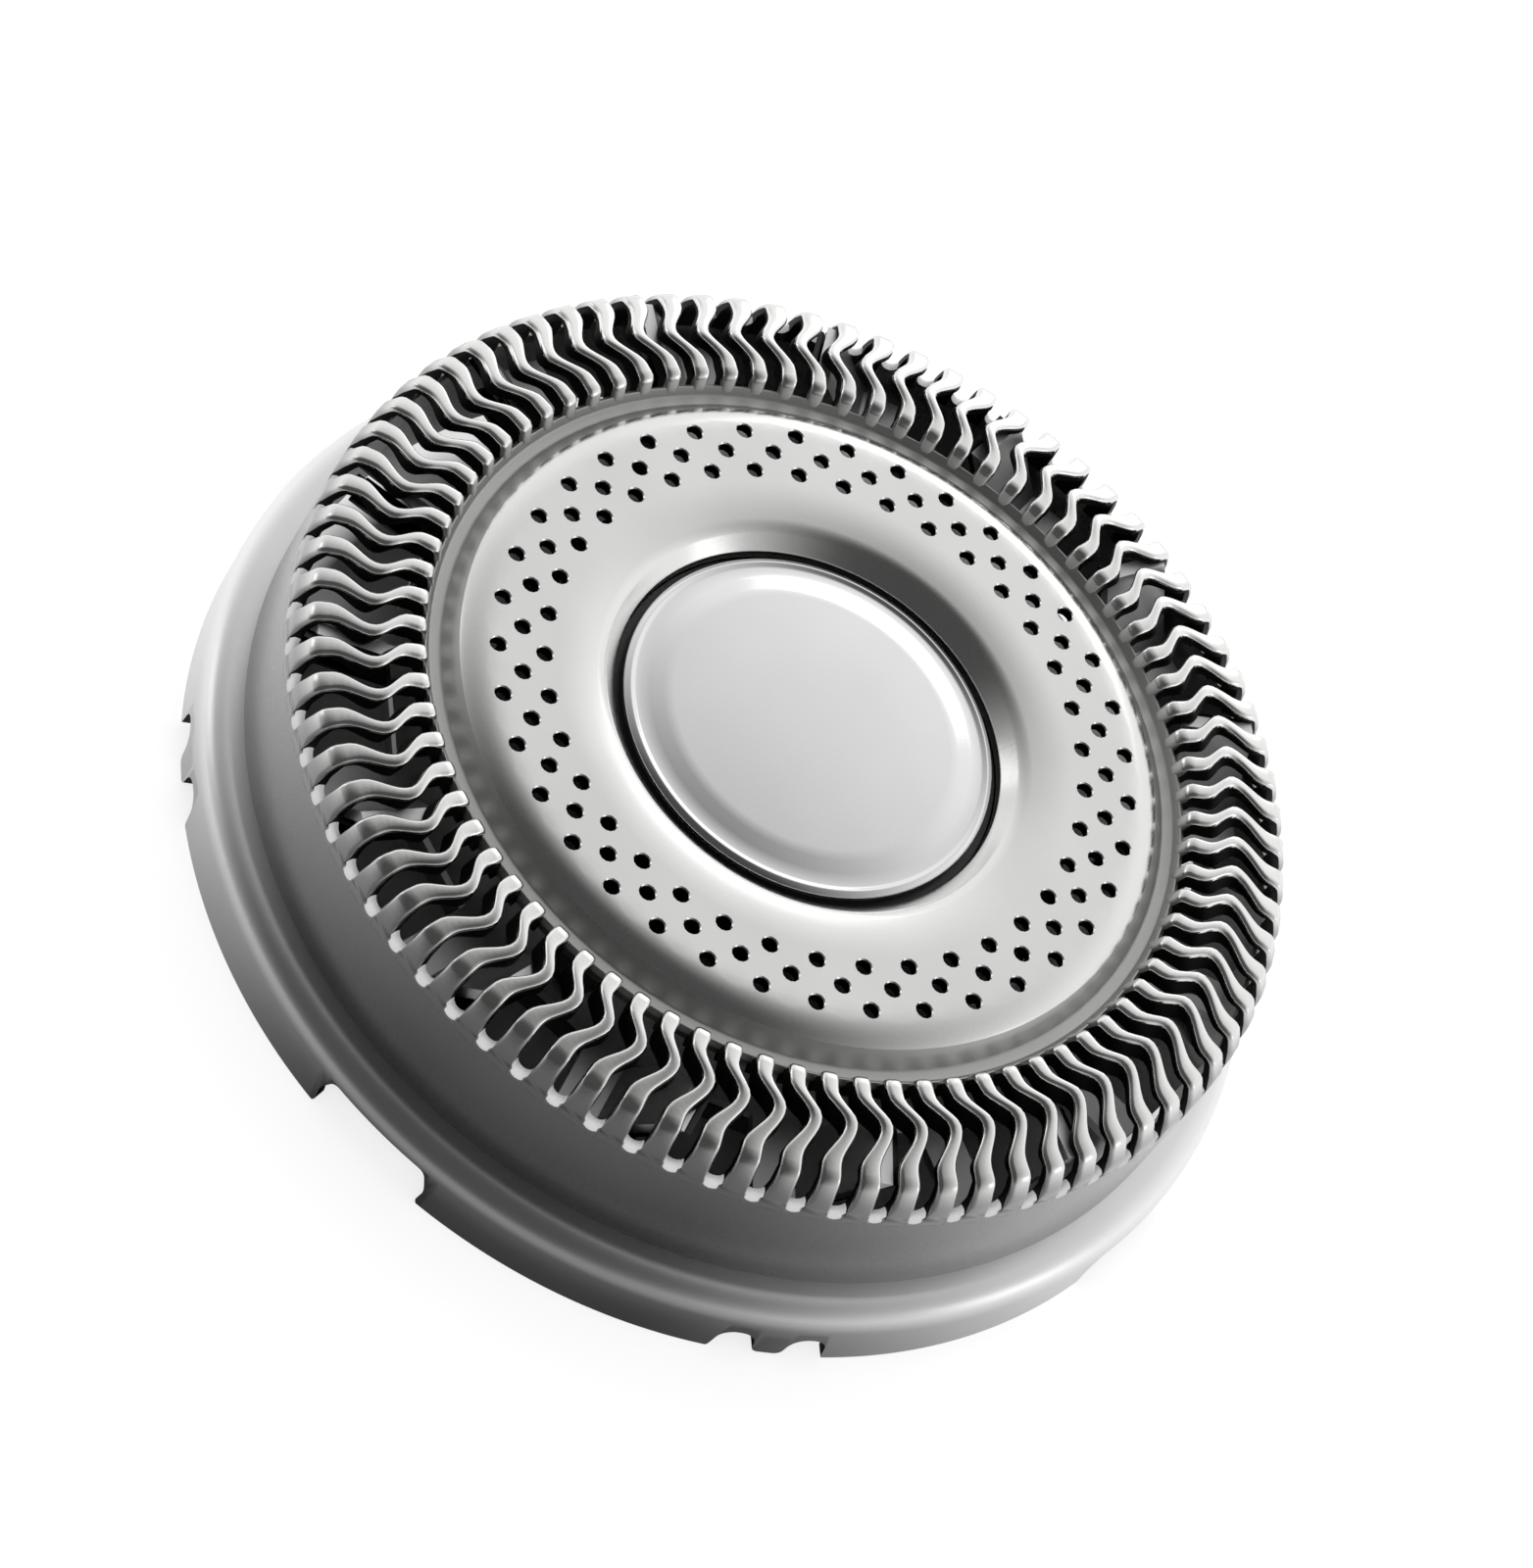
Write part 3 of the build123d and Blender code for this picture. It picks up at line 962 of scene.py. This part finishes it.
# Rolled spring steel is a darker grey than the blades, so it stays in the background
spring_steel = polished_steel("spring_steel_rolled", "#3c3c3a", 0.35, 0.05)
for node, material in (
    ("centre_boss", boss_plastic),
    ("cutter_carrier", carrier_plastic),
    ("blade_ring", blade_steel),
    ("lifter_ring", spring_steel),
):
    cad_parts[node].data.materials.clear()
    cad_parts[node].data.materials.append(material)
print("materials on", len(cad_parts) - 2, "CAD pieces")

# %% [markdown]
# ## Studio
# A polished cup shows what stands round it more than its own colour. The room is pale, as the photo's
# background is, and dark cloth hangs where the photograph shows dark reflections.
# The floor is matt paper with a white glow of its own. The glow ends under the head, because the
# head keeps the light from there.

# %% Floor
floor_drop = 0.04
glow_from = rim_radius - 1.9
glow_full = rim_radius - 0.9
front = atan2(camera_place.y, camera_place.x)
print("the camera stands at azimuth", round(degrees(front), 1))


def stage_piece(name, mesh, material):
    """Puts a floor, card or scrim in the scene, with its material."""
    made = put_in_scene(piece_from(mesh, name, [material]))
    return made


def level_sheet(size, drop):
    """The mesh of a level square sheet that lies a drop below the rim, with half its side as size."""
    mesh = bmesh.new()
    bmesh.ops.create_grid(mesh, x_segments=2, y_segments=2, size=size)
    bmesh.ops.translate(mesh, vec=(0, 0, -drop * MM), verts=mesh.verts)
    return mesh


def add_seen_directly(tree):
    """A value of 1 for what the camera sees straight, in a mirror or through glass, and else 0."""
    path = add_node(tree, "ShaderNodeLightPath").outputs
    maximum = {"operation": "MAXIMUM"}
    seen = add_node(tree, "ShaderNodeMath", maximum, {0: path["Is Camera Ray"], 1: path["Is Glossy Ray"]})
    rest = add_node(tree, "ShaderNodeMath", maximum, {0: seen.outputs[0], 1: path["Is Transmission Ray"]})
    return rest.outputs[0]


def add_distance(tree):
    """The distance of a point from the object's own middle."""
    spot = add_node(tree, "ShaderNodeTexCoord").outputs["Object"]
    return add_node(tree, "ShaderNodeVectorMath", {"operation": "LENGTH"}, {0: spot}).outputs["Value"]


floor_paper, floor_tree, floor_shader = new_material("paper_matt_white", roughness=0.9)
floor_shader.inputs["Base Color"].default_value = colour("#aaaaaa")
floor_shader.inputs["Emission Color"].default_value = colour("#ffffff")
open_floor = add_node(
    floor_tree,
    "ShaderNodeMapRange",
    {},
    {0: add_distance(floor_tree), "From Min": glow_from * MM, "From Max": glow_full * MM, "To Max": 0.73},
)
glow = add_node(
    floor_tree,
    "ShaderNodeMath",
    {"operation": "MULTIPLY"},
    {0: open_floor.outputs[0], 1: add_seen_directly(floor_tree)},
)
floor_tree.links.new(glow.outputs[0], floor_shader.inputs["Emission Strength"])
stage_piece("studio_floor", level_sheet(0.6, floor_drop), floor_paper)

# %% [markdown]
# The room itself is white for the camera and for reflections. As a lamp it is only half as bright, so
# that the soft boxes can still shade the matt surfaces.

# %% World
world = bpy.data.worlds.new("studio_world")
bpy.context.scene.world = world
world.use_nodes = True
world_tree = world.node_tree
background = world_tree.nodes["Background"]
background.inputs["Color"].default_value = colour("#ffffff")
strength = add_node(world_tree, "ShaderNodeMapRange", {}, {0: add_seen_directly(world_tree), "To Min": 0.5})
world_tree.links.new(strength.outputs[0], background.inputs["Strength"])
print("world set")

# %% [markdown]
# Photographers who shoot polished metal hang dark cloth round the camera, so that what faces it
# reflects dark. Here a scrim surrounds the camera, and a card lies on the floor in front of the head.
# Both are black in the middle and fade out, and only reflections see them.

# %% Dark cloth for reflections
def dark_cloth(name, way, clear_from, clear_to, least):
    """Black cloth that fades out with the angle between its place and a direction."""
    material, tree, shader = new_material(name, roughness=1.0)
    shader.inputs["Base Color"].default_value = colour("#050505")
    shader.inputs["Specular IOR Level"].default_value = 0.0
    place = add_node(tree, "ShaderNodeTexCoord").outputs["Object"]
    towards = add_node(tree, "ShaderNodeVectorMath", {"operation": "NORMALIZE"}, {0: place})
    facing = add_node(
        tree, "ShaderNodeVectorMath", {"operation": "DOT_PRODUCT"}, {0: towards.outputs[0], 1: way}
    )
    away = add_node(tree, "ShaderNodeMath", {"operation": "ARCCOSINE"}, {0: facing.outputs["Value"]})
    fade = add_node(
        tree,
        "ShaderNodeMapRange",
        {"interpolation_type": "SMOOTHSTEP"},
        {0: away.outputs[0], "From Min": radians(clear_from), "From Max": radians(clear_to), "To Min": least},
    )
    clear = add_node(tree, "ShaderNodeBsdfTransparent")
    mixed = add_node(
        tree, "ShaderNodeMixShader", {}, {0: fade.outputs[0], 1: shader.outputs[0], 2: clear.outputs[0]}
    )
    tree.links.new(mixed.outputs[0], tree.nodes["Material Output"].inputs["Surface"])
    return material, tree, fade


def only_in_reflections(piece):
    """Hides a stage piece from everything but reflections."""
    piece.visible_camera = False
    piece.visible_shadow = False
    piece.visible_diffuse = False


# %% Dark scrim round the camera
scrim_turn = front - radians(10)
scrim_rise = radians(45)
scrim_way = (cos(scrim_rise) * cos(scrim_turn), cos(scrim_rise) * sin(scrim_turn), sin(scrim_rise))
scrim_cloth = dark_cloth("black_velvet_scrim", scrim_way, 32, 107, 0.07)[0]
scrim_mesh = bmesh.new()
bmesh.ops.create_uvsphere(scrim_mesh, u_segments=48, v_segments=24, radius=0.9)
only_in_reflections(stage_piece("dark_scrim", scrim_mesh, scrim_cloth))
print("the scrim's middle is at azimuth", round(degrees(scrim_turn), 1))

# %% Dark card on the floor
card_drop = 0.02
pale_from = 13.5
pale_to = 15.5
card_turn = front + radians(5)
card_way = (cos(card_turn), sin(card_turn), 0)
card_cloth, card_tree, card_fade = dark_cloth("black_velvet_card", card_way, 15, 97, 0.1)
# Close to the head the card is darker still, a painted shadow that only reflections show
card_range = {"From Min": pale_from * MM, "From Max": pale_to * MM, "To Min": 0.05, "To Max": 0.26}
paler = add_node(card_tree, "ShaderNodeMapRange", {}, {0: add_distance(card_tree), **card_range})
card_tree.links.new(paler.outputs[0], card_fade.inputs["To Min"])
only_in_reflections(stage_piece("dark_floor_card", level_sheet(0.5, card_drop), card_cloth))
print("the card's middle is at azimuth", round(degrees(card_turn), 1))

# %% [markdown]
# Five soft boxes light the head. The two large ones only shade what is matt, because in the steel
# they would show as bright squares that the photograph doesn't have. The three low strips behind and
# beside the head do show, and brighten the steel's far side.

# %% Lamps
def lamp(name, azimuth, elevation, distance, size, brightness):
    """A square soft box that faces the head from a direction, given in degrees and metres."""
    data = bpy.data.lights.new(name, "AREA")
    data.size = size
    data.energy = brightness * pi * size * size
    made = put_in_scene(bpy.data.objects.new(name, data))
    flat_way = Vector((cos(radians(azimuth)), sin(radians(azimuth)), 0))
    way = flat_way * cos(radians(elevation)) + Vector((0, 0, sin(radians(elevation))))
    made.location = way * distance
    made.rotation_euler = way.to_track_quat("Z", "Y").to_euler()
    return made


behind = degrees(front) + 180
lamp("back_soft_box", behind, 50, 0.5, 0.40, 1.5).visible_glossy = False
lamp("front_soft_box", degrees(front), 45, 0.5, 0.30, 2.5).visible_glossy = False
lamp("back_strip", behind, 18, 0.5, 0.26, 0.5)
lamp("left_strip", behind + 85, 14, 0.5, 0.16, 0.7)
lamp("right_strip", behind - 85, 14, 0.5, 0.16, 0.7)

# %% Finish
bpy.context.scene.view_settings.view_transform = "Standard"
